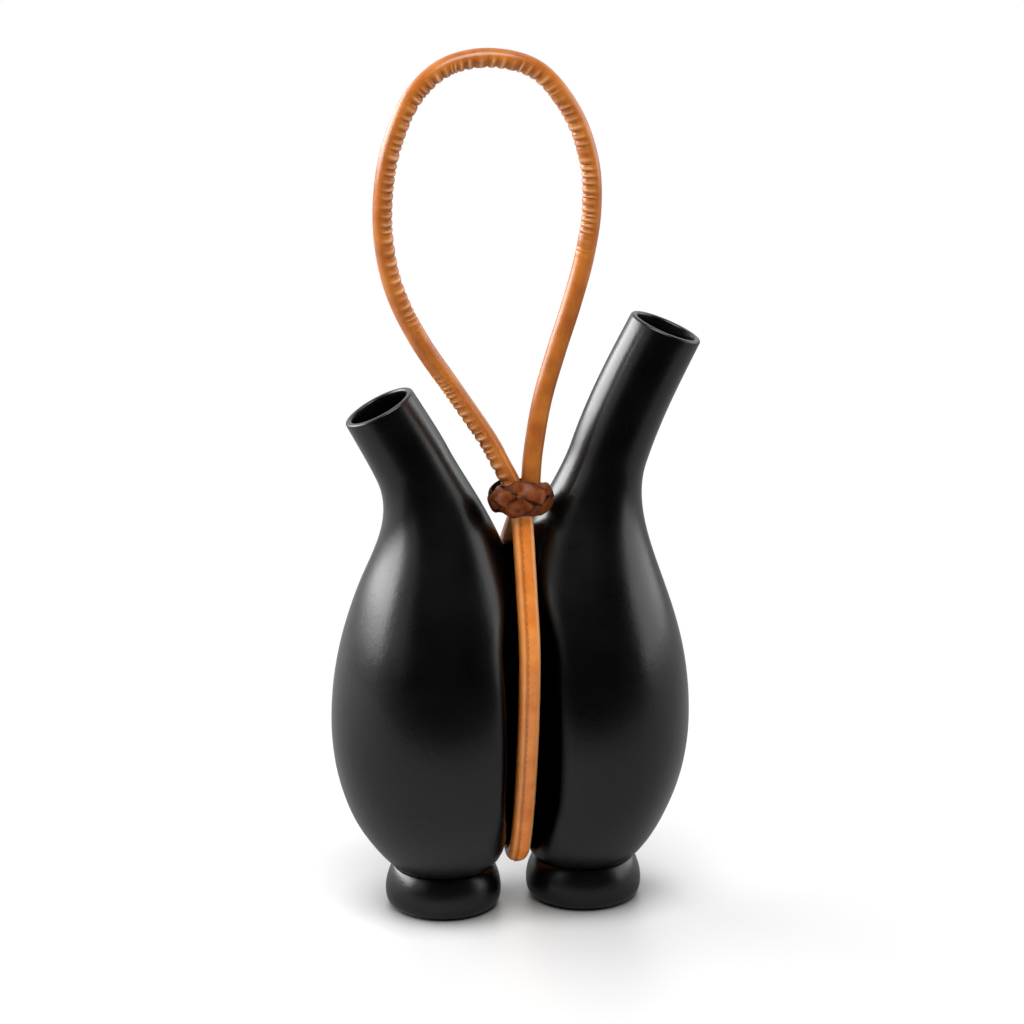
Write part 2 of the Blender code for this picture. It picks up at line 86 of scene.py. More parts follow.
# Bottles
BELLY_HEIGHT = 77.0 * MM
BELLY_RADIUS = 54.8 * MM
SETTLE_HEIGHT = 30.0 * MM    # above the foot, where the middle line has come over the belly's axis
WAIST_FLARE = math.radians(42.0)
WAIST_PULL = 8.0 * MM
BELLY_PULL_DOWN = 46.3 * MM
BELLY_PULL_UP = 66.3 * MM
NECK_START = 216.7 * MM
NECK_PULL = 37.8 * MM
NECK_RADIUS = 19.5 * MM
MOUTH_RADIUS = 18.6 * MM
WALL = 3.3 * MM
FLOOR_THICKNESS = 5.0 * MM
LIP_ROUND = 1.2 * MM
BOTTLES = {
    "left": {"foot": LEFT_FOOT, "side": -1.0, "length": 249.3 * MM, "bend": (145.8 * MM, 235.6 * MM),
             "lean": math.radians(29.8), "tilt": math.radians(26.9), "turn": math.radians(-7.6)},
    "right": {"foot": RIGHT_FOOT, "side": 1.0, "length": 286.0 * MM, "bend": (108.6 * MM, 280.7 * MM),
              "lean": math.radians(26.8), "tilt": math.radians(22.8), "turn": math.radians(3.25)},
}
BOTTLE_SIDES = 128
BEND_STEPS = 96
LOW_STATIONS = 34            # points on the outline from the waist to the belly
HIGH_STATIONS = 48           # from the belly to the neck
NECK_STATIONS = 14           # up the neck
LIP_STATIONS = 6             # and over half of the lip

# Groove and web between the bottles
GROOVE_WIDTH = 23.8 * MM
GROOVE_LOW_WIDTH = 11.6 * MM
GROOVE_ROUND = 10.0 * MM     # how far from the flat its rounded edge begins
FLAT_START = 8.0 * MM        # above the foot, where the flattening is full
GROOVE_OPEN = 50.0 * MM      # above the foot, where the groove has its full width
GROOVE_CLOSE = 120.0 * MM    # along the bottle, where it begins to close
GROOVE_SHUT = 172.0 * MM     # and where the bottles meet
GROOVE_SHADE_START = -5.0 * MM       # past the flat's edge, where the painted shade in the groove begins: the glaze starts to lose its shine
GROOVE_SHADE_FULL = 2.0 * MM         # and where it has none
WEB_LOW = 28.8 * MM
WEB_FULL_HEIGHT = 138.0 * MM
WEB_HIGH = 190.0 * MM
WEB_DEPTH = 32.7 * MM
WEB_LOW_PULL = 12.0 * MM     # roundness of its lower tip
WEB_PULL_DOWN = 38.0 * MM    # how long it keeps its depth below
WEB_PULL_UP = 29.0 * MM      # and above
WEB_HIGH_PULL = 13.0 * MM    # roundness of its upper tip
WEB_STATIONS = 32            # points on each quarter of its outline
LAID_STATIONS = 9            # and points there that the sling is laid on
WEB_END_RINGS = 6            # rings that fill its end in a bottle's wall

# Strap
LOOP_DIAMETER = 9.7 * MM
SLING_WIDTH = 10.6 * MM
SLING_THICKNESS = 8.8 * MM
SLING_SQUARENESS = 2.7       # higher values square off the strap's section
SLING_ROUNDED = 2.0          # and it is round where the strap turns under the web
SLING_ROUND_LENGTH = 22.0 * MM
STRAP_SIDES = 44
SLING_STEP = 1.2 * MM
LOOP_STEP = 0.5 * MM
ROUTE_POINTS = 25            # points on each leg of a route before it is evened out

# Loop's middle line in millimetres, across and up from its hinge, from the left strand round to the right one
LOOP_ROUTE = (
    (-10.0, 10.0), (-17.5, 24.4), (-34.5, 50.8), (-50.8, 76.2), (-62.3, 101.1), (-67.5, 125.5),
    (-67.7, 149.5), (-63.4, 173.1), (-53.2, 196.3), (-37.2, 210.9), (-15.2, 214.9), (7.8, 207.9),
    (24.7, 187.2), (33.5, 162.9), (35.1, 138.8), (31.7, 114.7), (25.3, 90.7), (17.6, 66.5),
    (10.7, 42.2), (6.3, 16.4),
)
STRAND_SIDE = 5.05           # half the distance between the two strands in the knot, in millimetres
ENTRY_DEPTH = 4.2            # how far the loop's ends go down into the knot, in millimetres

# Sling's seam, its paler left edge and the painted highlight on its right edge, by their places across the
# strap
SEAM_PLACE = -2.1 * MM
SEAM_DEPTH = 0.35 * MM
SEAM_WIDTH = 0.45 * MM
SEAM_WEAR = 0.5              # how dark the seam is
SEAM_SPREAD = 1.3            # how much wider that darkness is than the seam
LEFT_BAND = -3.5 * MM        # paler bands along the edges: the right one a painted highlight
RIGHT_BAND = 4.2 * MM
BAND_WIDTH = 0.7 * MM
LEFT_PALENESS = 0.40
RIGHT_HIGHLIGHT = 0.75
STITCH_PLACE = -1.35 * MM
STITCH_PITCH = 1.7 * MM
STITCH_LENGTH = 1.15 * MM
STITCH_RADIUS = 0.24 * MM

# Wrinkles of the loop
RIB_DEPTH = 1.45 * MM
RIB_PITCH = 4.3 * MM
PITCH_CHANGE = 1.1           # how unevenly the wrinkles are spaced
RIB_PRESS = 0.7              # how strongly they are pressed in
PRESS_CHANGE = 0.8           # and how unevenly
RIB_ROUND = 0.55             # lower values give fuller ridges and sharper creases
RIB_SLANT = 0.5 * MM
INNER_RIBS = (0.20, 0.75)    # shares of the loop's length where its inner side is wrinkled
INNER_EDGE = (-0.55, 0.45)   # where round the strap they begin and are full, 1 being right inside
LEFT_RIBS = (0.0, 0.135)     # the same for its left side, above the knot
LEFT_EDGE = (-0.3, 0.6)      # 1 being right outside
RIB_FADE = 0.02
CREASE_SHADE = 0.45           # how dark the painted shade in the creases is
RIDGE_HIGHLIGHT = 0.85            # how bright the painted highlight on the ridges is
RIDGE_START = 0.9            # share of a ridge's fullness from which it gets the painted highlight

# Knot
KNOT_LEADS = 3
KNOT_BIGHTS = 5
KNOT_TURN = math.radians(-27.0)
KNOT_TILT = math.radians(8.0)  # its front rises
KNOT_RISE = 1.8 * MM
KNOT_BORE = 9.5 * MM
KNOT_FLATTEN = 2.4 * MM      # how much less deep than wide it is, to either side
STRIP_WIDTH = 9.7 * MM
STRIP_THICKNESS = 1.6 * MM
WEAVE_HEIGHT = 10.6 * MM
WEAVE_DEPTH = 1.9 * MM
WEAVE_HOLD = 0.45            # lower values hold the strip longer over and under
STRIP_ROLL = 0.50            # how far the strip's face leans out over the rims
KNOT_BULGE = 1.8 * MM
KNOT_TAPER = 0.30            # how much less tall it is at its sides
STRIP_TAPER = 0.5            # share of that by which the strip narrows there
STRIP_EDGE = 0.6             # lower values square off the strip's section, across
STRIP_FACE = 0.7             # and through
STRIP_CROWN = 0.35 * MM      # how much its face is domed
EDGE_SHADE_START = 0.70            # share of its half width from which painted shade darkens it
KNOT_PROBE = 0.02            # turn to either side of a point, for the strip's direction there
KNOT_STEPS = 132             # sections of the strip in each turn
STRIP_SIDES = 24


def linear(hexadecimal):
    """Colour of an sRGB hex value, for a shader."""
    channels = [int(hexadecimal[place:place + 2], 16) / 255.0 for place in (1, 3, 5)]
    return (*[c / 12.92 if c <= 0.04045 else ((c + 0.055) / 1.055) ** 2.4 for c in channels], 1.0)


def add(tree, kind, inputs=None, **settings):
    """Add a node, set its fields, and fill its inputs with values or with other nodes' outputs."""
    made = tree.nodes.new(kind)
    for field, value in settings.items():
        setattr(made, field, value)
    for socket, value in (inputs or {}).items():
        if isinstance(value, bpy.types.NodeSocket):
            tree.links.new(value, made.inputs[socket])
        else:
            made.inputs[socket].default_value = value
    return made


def new_material(name):
    """Empty material with its node tree, output and a Principled shader."""
    made = bpy.data.materials.new(name)
    made.use_nodes = True
    tree = made.node_tree
    return made, tree, tree.nodes["Principled BSDF"]


def piece(name, bm, material, body, *nodes):
    """Make an object of a bmesh, on a body, in place of solids."""
    bmesh.ops.recalc_face_normals(bm, faces=bm.faces)
    mesh = bpy.data.meshes.new(name)
    bm.to_mesh(mesh)
    bm.free()
    mesh.shade_smooth()
    mesh.materials.append(material)
    made = bpy.data.objects.new(name, mesh)
    bpy.context.scene.collection.objects.link(made)
    if body:
        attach(made, body)
    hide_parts(*nodes)
    return made


def sweep(rings, closed=False, marks=None, bm=None):
    """Lay a grid over a row of rings, close it round, and cap its ends or join them."""
    bm = bm or bmesh.new()
    # Per-vertex marks for the shaders: a dark seam, and painted shade and painted highlights
    wear_and_painted_light = bm.verts.layers.float.get("wear_and_painted_light") or bm.verts.layers.float.new("wear_and_painted_light")
    sides = len(rings[0])
    legs = len(rings) if closed else len(rings) - 1
    made = bmesh.ops.create_grid(bm, x_segments=sides, y_segments=legs, size=1.0)["verts"]
    reach = max(vert.co.x for vert in made)
    for vert in made:
        column = round((vert.co.x / reach + 1.0) / 2.0 * sides) % sides
        row = round((vert.co.y / reach + 1.0) / 2.0 * legs) % len(rings)
        vert.co = rings[row][column]
        vert[wear_and_painted_light] = marks[row][column] if marks else 0.0
    bmesh.ops.remove_doubles(bm, verts=made, dist=1e-7)
    bmesh.ops.edgeloop_fill(bm, edges=[edge for edge in bm.edges if edge.is_boundary])
    return bm


def even_route(points, step):
    """Even points on a smooth curve through the given ones, and their distances along it."""
    ends = [2.0 * points[0] - points[1], *points, 2.0 * points[-1] - points[-2]]
    dense = []
    for before, start, end, after in zip(ends, ends[1:], ends[2:], ends[3:]):
        leaving = start + (end - before) / 6.0
        arriving = end - (after - start) / 6.0
        dense += interpolate_bezier(start, leaving, arriving, end, ROUTE_POINTS)[:-1]
    dense.append(points[-1])
    reached = [0.0]
    for start, end in zip(dense, dense[1:]):
        reached.append(reached[-1] + (end - start).length)
    count = round(reached[-1] / step)
    route = []
    leg = 0
    for index in range(count + 1):
        target = reached[-1] * index / count
        while leg < len(dense) - 2 and reached[leg + 1] < target:
            leg += 1
        share = (target - reached[leg]) / (reached[leg + 1] - reached[leg])
        route.append(dense[leg].lerp(dense[leg + 1], min(max(share, 0.0), 1.0)))
    return route, [reached[-1] * index / count for index in range(count + 1)]


def headings(route):
    """Direction of travel at each point of an open route."""
    earlier = [route[0], *route[:-1]]
    later = [*route[1:], route[-1]]
    return [(after - before).normalized() for before, after in zip(earlier, later)]


def smoothstep(low, high, value):
    """Ease from 0 at low to 1 at high."""
    share = min(max((value - low) / (high - low), 0.0), 1.0)
    return share * share * (3.0 - 2.0 * share)


# Camera at the photograph's angle
TARGET = Vector((-1.07 * MM, 0.0, 207.5 * MM))
AZIMUTH = math.radians(-10.5)
ELEVATION = math.radians(18.0)
DISTANCE = 2.2
HALF_PICTURE = 512.0         # pixels
FOCAL_LENGTH = 4400.0        # pixels
level = Vector((math.sin(AZIMUTH), -math.cos(AZIMUTH), 0.0))
back = level * math.cos(ELEVATION) + Vector((0.0, 0.0, math.sin(ELEVATION)))
lens = bpy.data.cameras.new("camera")
lens.angle = 2.0 * math.atan(HALF_PICTURE / FOCAL_LENGTH)
camera = bpy.data.objects.new("camera", lens)
camera.location = TARGET + back * DISTANCE
camera.rotation_euler = back.to_track_quat("Z", "Y").to_euler()
bpy.context.scene.collection.objects.link(camera)
bpy.context.scene.camera = camera

# Stoneware with a matt black glaze: near-black, satin, faintly uneven in its highlights, its shine taken off
# in the groove as painted shade
glaze, tree, shader = new_material("matt_black_stoneware_glaze")
coords = add(tree, "ShaderNodeTexCoord").outputs["Object"]
cloud = add(tree, "ShaderNodeTexNoise", {"Vector": coords, "Scale": 1.0 / (24.0 * MM), "Detail": 3.0})
mottle = add(tree, "ShaderNodeTexNoise", {"Vector": coords, "Scale": 1.0 / (3.2 * MM), "Detail": 3.0,
                                          "Distortion": 1.2})
tone = add(tree, "ShaderNodeValToRGB", {"Fac": cloud.outputs["Fac"]})
tone.color_ramp.elements[0].color = linear("#000000")
tone.color_ramp.elements[1].color = linear("#030303")
sheen = add(tree, "ShaderNodeMapRange", {"Value": cloud.outputs["Fac"], "From Min": 0.3, "From Max": 0.7,
                                         "To Min": 0.26, "To Max": 0.32})
wear_and_painted_light = add(tree, "ShaderNodeAttribute", attribute_name="wear_and_painted_light")
# Painted shade: the glaze loses its specular shine in the groove and on the web
shine = add(tree, "ShaderNodeMapRange", {"Value": wear_and_painted_light.outputs["Fac"], "To Min": 0.5, "To Max": 0.0})
bump = add(tree, "ShaderNodeBump", {"Height": mottle.outputs["Fac"], "Strength": 0.40,
                                    "Distance": 0.17 * MM})
tree.links.new(tone.outputs["Color"], shader.inputs["Base Color"])
tree.links.new(sheen.outputs["Result"], shader.inputs["Roughness"])
tree.links.new(shine.outputs["Result"], shader.inputs["Specular IOR Level"])
tree.links.new(bump.outputs["Normal"], shader.inputs["Normal"])
shader.inputs["IOR"].default_value = 1.5


# Vegetable-tanned leather: warm tan with painted shade in its creases, paler bands and painted highlights on
# its ridges and edges, fine pores and a light wax shine
def tan_leather(name, low, high):
    """Tan leather between two tones."""
    made, tree, shader = new_material(name)
    coords = add(tree, "ShaderNodeTexCoord").outputs["Object"]
    stain = add(tree, "ShaderNodeTexNoise", {"Vector": coords, "Scale": 1.0 / (11.0 * MM), "Detail": 4.0})
    pores = add(tree, "ShaderNodeTexVoronoi", {"Vector": coords, "Scale": 1.0 / (0.8 * MM)})
    wear_and_painted_light = add(tree, "ShaderNodeAttribute", attribute_name="wear_and_painted_light")
    tone = add(tree, "ShaderNodeValToRGB", {"Fac": stain.outputs["Fac"]})
    tone.color_ramp.elements[0].position = 0.3
    tone.color_ramp.elements[0].color = linear(low)
    tone.color_ramp.elements[1].position = 0.72
    tone.color_ramp.elements[1].color = linear(high)
    # Painted shade: darker towards a deep brown where the marks are positive, as in creases
    dark = add(tree, "ShaderNodeClamp", {"Value": wear_and_painted_light.outputs["Fac"]})
    crease_shade = add(tree, "ShaderNodeMix", {"Factor": dark.outputs["Result"], "A": tone.outputs["Color"],
                                         "B": linear("#6E320C")}, data_type="RGBA")
    # Paler where the marks are negative: painted highlights on ridges and on the sling's right edge, and its
    # paler left band
    pale = add(tree, "ShaderNodeMath", {0: wear_and_painted_light.outputs["Fac"], 1: -1.0}, operation="MULTIPLY",
               use_clamp=True)
    lightened = add(tree, "ShaderNodeMix", {"Factor": pale.outputs["Value"], "A": crease_shade.outputs[2],
                                         "B": linear("#EBB27E")}, data_type="RGBA")
    bump = add(tree, "ShaderNodeBump", {"Height": pores.outputs["Distance"], "Strength": 0.12,
                                        "Distance": 0.15 * MM})
    tree.links.new(lightened.outputs[2], shader.inputs["Base Color"])
    tree.links.new(bump.outputs["Normal"], shader.inputs["Normal"])
    shader.inputs["Roughness"].default_value = 0.30
    shader.inputs["Specular IOR Level"].default_value = 0.55
    return made


# The folded strap's tones are lighter than the rolled loop's: partly its smoother leather, partly painted
# light for the strap lying in the groove's shade
loop_leather = tan_leather("tan_rolled_leather", "#A0551A", "#C27229")
sling_leather = tan_leather("tan_folded_leather", "#D27226", "#EA9142")

# Waxed dark leather of the knot: stained red-brown face, painted shade darkening the strip's edges nearly to
# black, fine pores, dull shine
knot_leather, tree, shader = new_material("waxed_dark_brown_leather")
coords = add(tree, "ShaderNodeTexCoord").outputs["Object"]
stain = add(tree, "ShaderNodeTexNoise", {"Vector": coords, "Scale": 1.0 / (4.0 * MM), "Detail": 6.0})
pores = add(tree, "ShaderNodeTexVoronoi", {"Vector": coords, "Scale": 1.0 / (0.7 * MM)})
wear_and_painted_light = add(tree, "ShaderNodeAttribute", attribute_name="wear_and_painted_light")
tone = add(tree, "ShaderNodeValToRGB", {"Fac": stain.outputs["Fac"]})
tone.color_ramp.elements[0].position = 0.3
tone.color_ramp.elements[0].color = linear("#481C05")
tone.color_ramp.elements[1].position = 0.75
tone.color_ramp.elements[1].color = linear("#8C4412")
# Painted shade: the strip darkens towards its edges, standing for the shadows between strips
edge = add(tree, "ShaderNodeMix", {"Factor": wear_and_painted_light.outputs["Fac"], "A": tone.outputs["Color"],
                                   "B": linear("#1E0B02")}, data_type="RGBA")
bump = add(tree, "ShaderNodeBump", {"Height": pores.outputs["Distance"], "Strength": 0.15,
                                    "Distance": 0.15 * MM})
tree.links.new(edge.outputs[2], shader.inputs["Base Color"])
tree.links.new(bump.outputs["Normal"], shader.inputs["Normal"])
shader.inputs["Roughness"].default_value = 0.42
shader.inputs["Specular IOR Level"].default_value = 0.25

# Waxed linen thread of the seam: dull brown, mottled by its twist
thread, tree, shader = new_material("waxed_linen_thread")
coords = add(tree, "ShaderNodeTexCoord").outputs["Object"]
twist = add(tree, "ShaderNodeTexNoise", {"Vector": coords, "Scale": 1.0 / (0.5 * MM)})
tone = add(tree, "ShaderNodeValToRGB", {"Fac": twist.outputs["Fac"]})
tone.color_ramp.elements[0].color = linear("#7A421A")
tone.color_ramp.elements[1].color = linear("#A8652C")
tree.links.new(tone.outputs["Color"], shader.inputs["Base Color"])
shader.inputs["Roughness"].default_value = 0.6


# Bottles
def bottle_line(shape, station):
    """Middle of a bottle at a station, the share of its lean reached there, and the way it leans."""
    start, end = shape["bend"]
    step = station / BEND_STEPS
    leans = [shape["lean"] * smoothstep(start, end, (index + 0.5) * step) for index in range(BEND_STEPS)]
    outward = sum(math.sin(lean) for lean in leans) * step
    upward = sum(math.cos(lean) for lean in leans) * step
    axis = shape["foot"].x - FOOT_SHIFT * smoothstep(0.0, SETTLE_HEIGHT, station)
    out = Vector((shape["side"] * math.cos(shape["turn"]), -math.sin(shape["turn"]), 0.0))
    return Vector((axis, 0.0, FOOT_HEIGHT + upward)) + out * outward, smoothstep(start, end, station), out


def half_groove(station):
    """Half the groove's width: narrow at the feet, full along the bellies, closed under the necks."""
    closed = smoothstep(GROOVE_CLOSE, GROOVE_SHUT, station)
    width = GROOVE_LOW_WIDTH + (GROOVE_WIDTH - GROOVE_LOW_WIDTH) * smoothstep(0.0, GROOVE_OPEN, station)
    return (width + (SEAT_GAP - width) * closed) / 2.0


def bottle_ring(shape, station, radius, inset):
    """Round section of a bottle, flattened an inset from the groove, and how much painted shade takes the
    shine off its glaze there.
    """
    middle, share, out = bottle_line(shape, station)
    tilt = shape["tilt"] * share
    face = out * math.cos(tilt) - Vector((0.0, 0.0, math.sin(tilt)))
    across = Vector((-out.y, out.x, 0.0))
    flat = half_groove(station) + inset
    ring = []
    groove_shade = []
    for index in range(BOTTLE_SIDES):
        turn = 2.0 * math.pi * index / BOTTLE_SIDES
        point = middle + face * (radius * math.cos(turn)) + across * (radius * math.sin(turn))
        past = flat - shape["side"] * (point.x - JOIN)
        near = max(GROOVE_ROUND - abs(past), 0.0)
        push = max(past, 0.0) + near * near / (4.0 * GROOVE_ROUND)
        point.x += shape["side"] * push * smoothstep(0.0, FLAT_START, station)
        ring.append(point)
        groove_shade.append(smoothstep(GROOVE_SHADE_START, GROOVE_SHADE_FULL, past))
    return ring, groove_shade


def bottle_outline(shape):
    """Stations and radii from the waist up to the start of the lip."""
    waist = Vector((0.0, WAIST_RADIUS))
    flare = waist + WAIST_PULL * Vector((math.sin(WAIST_FLARE), math.cos(WAIST_FLARE)))
    full = Vector((BELLY_HEIGHT, BELLY_RADIUS))
    below = Vector((BELLY_HEIGHT - BELLY_PULL_DOWN, BELLY_RADIUS))
    above = Vector((BELLY_HEIGHT + BELLY_PULL_UP, BELLY_RADIUS))
    neck = Vector((NECK_START, NECK_RADIUS))
    joint = Vector((NECK_START - NECK_PULL, NECK_RADIUS))
    low = interpolate_bezier(waist, flare, below, full, LOW_STATIONS)
    high = interpolate_bezier(full, above, joint, neck, HIGH_STATIONS)
    mouth = Vector((shape["length"] - LIP_ROUND, MOUTH_RADIUS))
    tube = [neck.lerp(mouth, (index + 1) / NECK_STATIONS) for index in range(NECK_STATIONS)]
    return low + high[1:] + tube


def web_side(count):
    """Depths and heights of the web's outline on one side, from its lowest place up to its highest."""
    low = Vector((0.0, WEB_LOW))
    full = Vector((WEB_DEPTH, WEB_FULL_HEIGHT))
    high = Vector((0.0, WEB_HIGH))
    down = full - Vector((0.0, WEB_PULL_DOWN))
    up = full + Vector((0.0, WEB_PULL_UP))
    rise = interpolate_bezier(low, low + Vector((WEB_LOW_PULL, 0.0)), down, full, count)
    return rise + interpolate_bezier(full, up, high + Vector((WEB_HIGH_PULL, 0.0)), high, count)[1:]


def web_rings(bm, side):
    """Rings of the web, from its end, which lies halfway into a bottle's wall, to the groove's middle."""
    rear = web_side(WEB_STATIONS)
    outline = rear + [Vector((-point.x, point.y)) for point in rear[-2:0:-1]]
    wall = BVHTree.FromBMesh(bm)
    away = Vector((side, 0.0, 0.0))
    rings = []
    for index in range(WEB_END_RINGS + 1):
        share = index / WEB_END_RINGS
        starts = [Vector((JOIN - side * SEAT_GAP, point.x * share, point.y)) for point in outline]
        rings.append([wall.ray_cast(start, away)[0] + away * (WALL / 2.0) for start in starts])
    rings.append([Vector((JOIN + side * SEAT_GAP / 2.0, point.x, point.y)) for point in outline])
    return rings


def bottle(name, shape, node):
    """Hollow bottle with its half of the web: up the outside, over the lip and down to the floor."""
    points = bottle_outline(shape)
    lip = []
    for index in range(LIP_STATIONS):
        turn = math.radians(90.0) * (index + 1) / LIP_STATIONS
        drop = LIP_ROUND * (1.0 - math.sin(turn))
        lip.append((shape["length"] - drop, MOUTH_RADIUS - LIP_ROUND * (1.0 - math.cos(turn))))
    inner_lip = [(station, 2.0 * MOUTH_RADIUS - WALL - radius) for station, radius in reversed(lip)]
    walls = []
    for before, here, after in zip(points, points[1:], points[2:]):
        slope = (after - before).normalized()
        walls.append(here + WALL * Vector((slope.y, -slope.x)))
    walls = [wall for wall in walls if FLOOR_THICKNESS < wall.x < shape["length"] - LIP_ROUND]
    rings = [bottle_ring(shape, station, radius, 0.0) for station, radius in [*points, *lip]]
    hollow = [*inner_lip, *reversed(walls)]
    rings += [bottle_ring(shape, station, radius, WALL) for station, radius in hollow]
    bm = sweep([ring for ring, groove_shade in rings], marks=[groove_shade for ring, groove_shade in rings])
    web = web_rings(bm, shape["side"])
    # The web's glaze has no shine at all: painted shade
    sweep(web, marks=[[1.0] * len(ring) for ring in web], bm=bm)
    made = piece(name, bm, glaze, "vase", node)
    made.data.set_sharp_from_angle(angle=SHARP_ANGLE)


bottle("left_vessel", BOTTLES["left"], "left_bottle")
bottle("right_vessel", BOTTLES["right"], "right_bottle")


# Feet
def foot(name, axis, node):
    """Turned foot with a hollow underside, from rings round its axis."""
    top = FOOT_HEIGHT - SEAT_GAP
    base = Vector((FOOT_BASE_RADIUS, 0.0))
    full = Vector((FOOT_RADIUS, FOOT_FULL_HEIGHT))
    rim = Vector((WAIST_RADIUS, top))
    spread = Vector((FOOT_PULL, 0.0))
    lower = Vector((0.0, FOOT_PULL))
    upper = Vector((0.0, SHOULDER_PULL))
    shoulder = Vector((RIM_PULL, -RIM_PULL)) * math.sqrt(0.5)
    side = interpolate_bezier(base, base + spread, full - lower, full, FOOT_STATIONS)
    side += interpolate_bezier(full, full + upper, rim + shoulder, rim, FOOT_STATIONS)[1:]
    corner = Vector((RECESS_RADIUS, RECESS_DEPTH))
    recess = [Vector((0.0, corner.y)), corner, Vector((corner.x, 0.0))]
    profile = [*recess, *side, Vector((0.0, top))]
    turns = [2.0 * math.pi * index / FOOT_SIDES for index in range(FOOT_SIDES)]
    around = [Vector((math.cos(turn), math.sin(turn), 0.0)) for turn in turns]
    rings = []
    for point in profile:
        centre = Vector((axis, 0.0, point.y))
        rings.append([centre + out * point.x for out in around])
    made = piece(name, sweep(rings), glaze, "vase", node)
    made.data.set_sharp_from_angle(angle=SHARP_ANGLE)


foot("left_foot_ring", LEFT_FOOT.x, "left_foot")
foot("right_foot_ring", RIGHT_FOOT.x, "right_foot")


# Sling: a folded strap with its seam on the outside, left of the middle
def sling_reach(turn, squareness):
    """Place across and outwards of a point of the strap's section."""
    power = 2.0 / squareness
    wide = math.copysign(abs(math.cos(turn)) ** power, math.cos(turn)) * SLING_WIDTH / 2.0
    thick = math.copysign(abs(math.sin(turn)) ** power, math.sin(turn)) * SLING_THICKNESS / 2.0
    if thick > 0.0:
        thick -= SEAM_DEPTH * math.exp(-((wide - SEAM_PLACE) / SEAM_WIDTH) ** 2)
    return wide, thick


def tighten(points, side):
    """Pull points straight wherever they dip below the line between two others."""
    for index, point in enumerate(points):
        for before in points[:index]:
            for after in points[index + 1:]:
                share = (before.z - point.z) / (before.z - after.z)
                straight = before.y + (after.y - before.y) * share
                point.y = side * max(side * point.y, side * straight)


def sling_fall(side):
    """Sling's middle line from its end in the knot down one side of the web to its lowest place."""
    offset = SLING_THICKNESS / 2.0 + SEAT_GAP
    laid = [Vector((JOIN, KNOT_MIDDLE.y + side * offset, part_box("knot")[0].z))]
    rise = web_side(LAID_STATIONS)
    ahead = [*rise[1:], Vector((-rise[-2].x, rise[-2].y))]
    behind = [Vector((-rise[1].x, rise[1].y)), *rise[:-1]]
    for here, before, after in reversed(list(zip(rise, behind, ahead))):
        along = (after - before).normalized()
        laid.append(Vector((JOIN, side * (here.x + offset * along.y), here.y - offset * along.x)))
    tighten(laid, side)
    end = Vector((JOIN, laid[0].y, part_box("sling_cover")[1].z))
    return [end, end.lerp(laid[0], 0.5), *laid]


sling_points = [*sling_fall(-1.0), *sling_fall(1.0)[-2::-1]]
sling_route, sling_reached = even_route(sling_points, SLING_STEP)
sling_low = min(point.z for point in sling_route)
sling_rings = []
sling_marks = []
for point, way in zip(sling_route, headings(sling_route)):
    outward = way.cross(ACROSS).normalized()
    raised = smoothstep(0.0, SLING_ROUND_LENGTH, point.z - sling_low)
    squareness = SLING_ROUNDED + (SLING_SQUARENESS - SLING_ROUNDED) * raised
    ring = []
    marks = []
    for index in range(STRAP_SIDES):
        wide, thick = sling_reach(2.0 * math.pi * index / STRAP_SIDES, squareness)
        ring.append(point + ACROSS * wide + outward * thick)
        near = math.exp(-((wide - SEAM_PLACE) / (SEAM_SPREAD * SEAM_WIDTH)) ** 2) if thick > 0.0 else 0.0
        # Paler band on the left edge and painted highlight along the right edge
        lightened = LEFT_PALENESS * math.exp(-((wide - LEFT_BAND) / BAND_WIDTH) ** 2)
        lightened += RIGHT_HIGHLIGHT * math.exp(-((wide - RIGHT_BAND) / BAND_WIDTH) ** 2)
        marks.append(SEAM_WEAR * near - lightened * (1.0 - near))
    sling_rings.append(ring)
    sling_marks.append(marks)
sling_skin = sweep(sling_rings, marks=sling_marks)
sling = piece("strap_sling", sling_skin, sling_leather, "vase", "sling_cover", "sling_core")

stitches = bmesh.new()
stitch_turn = math.acos(-(abs(STITCH_PLACE) / (SLING_WIDTH / 2.0)) ** (SLING_SQUARENESS / 2.0))
wide, thick = sling_reach(stitch_turn, SLING_SQUARENESS)
for index in range(1, round(sling_reached[-1] / STITCH_PITCH)):
    row = min(range(len(sling_reached)), key=lambda place: abs(sling_reached[place] - index * STITCH_PITCH))
    way = headings(sling_route[max(row - 1, 0):row + 2])[1]
    outward = way.cross(ACROSS).normalized()
    middle = sling_route[row] + ACROSS * wide + outward * thick
    made = bmesh.ops.create_icosphere(stitches, subdivisions=1, radius=1.0)["verts"]
    for vert in made:
        vert.co = (middle + way * (vert.co.z * STITCH_LENGTH / 2.0) + ACROSS * (vert.co.x * STITCH_RADIUS)
                   + outward * (vert.co.y * STITCH_RADIUS))
piece("sling_stitches", stitches, thread, "vase")

# Carrying loop: a round rolled strap, wrinkled where the leather is squeezed on the inside of a bend
ends = [(STRAND_SIDE, 0.0), (STRAND_SIDE, -ENTRY_DEPTH)]
loop_path = [(-across, up) for across, up in reversed(ends)] + [*LOOP_ROUTE, *ends]
loop_points = [HINGE + Vector((across, 0.0, up)) * MM for across, up in loop_path]
loop_route, loop_reached = even_route(loop_points, LOOP_STEP)
loop_length = loop_reached[-1]

ribs = [0.0]
while ribs[-1] < loop_length:
    change = noise.noise(Vector((len(ribs) * 1.7, 0.3, 0.0)))
    ribs.append(ribs[-1] + RIB_PITCH * (1.0 + PITCH_CHANGE * change))


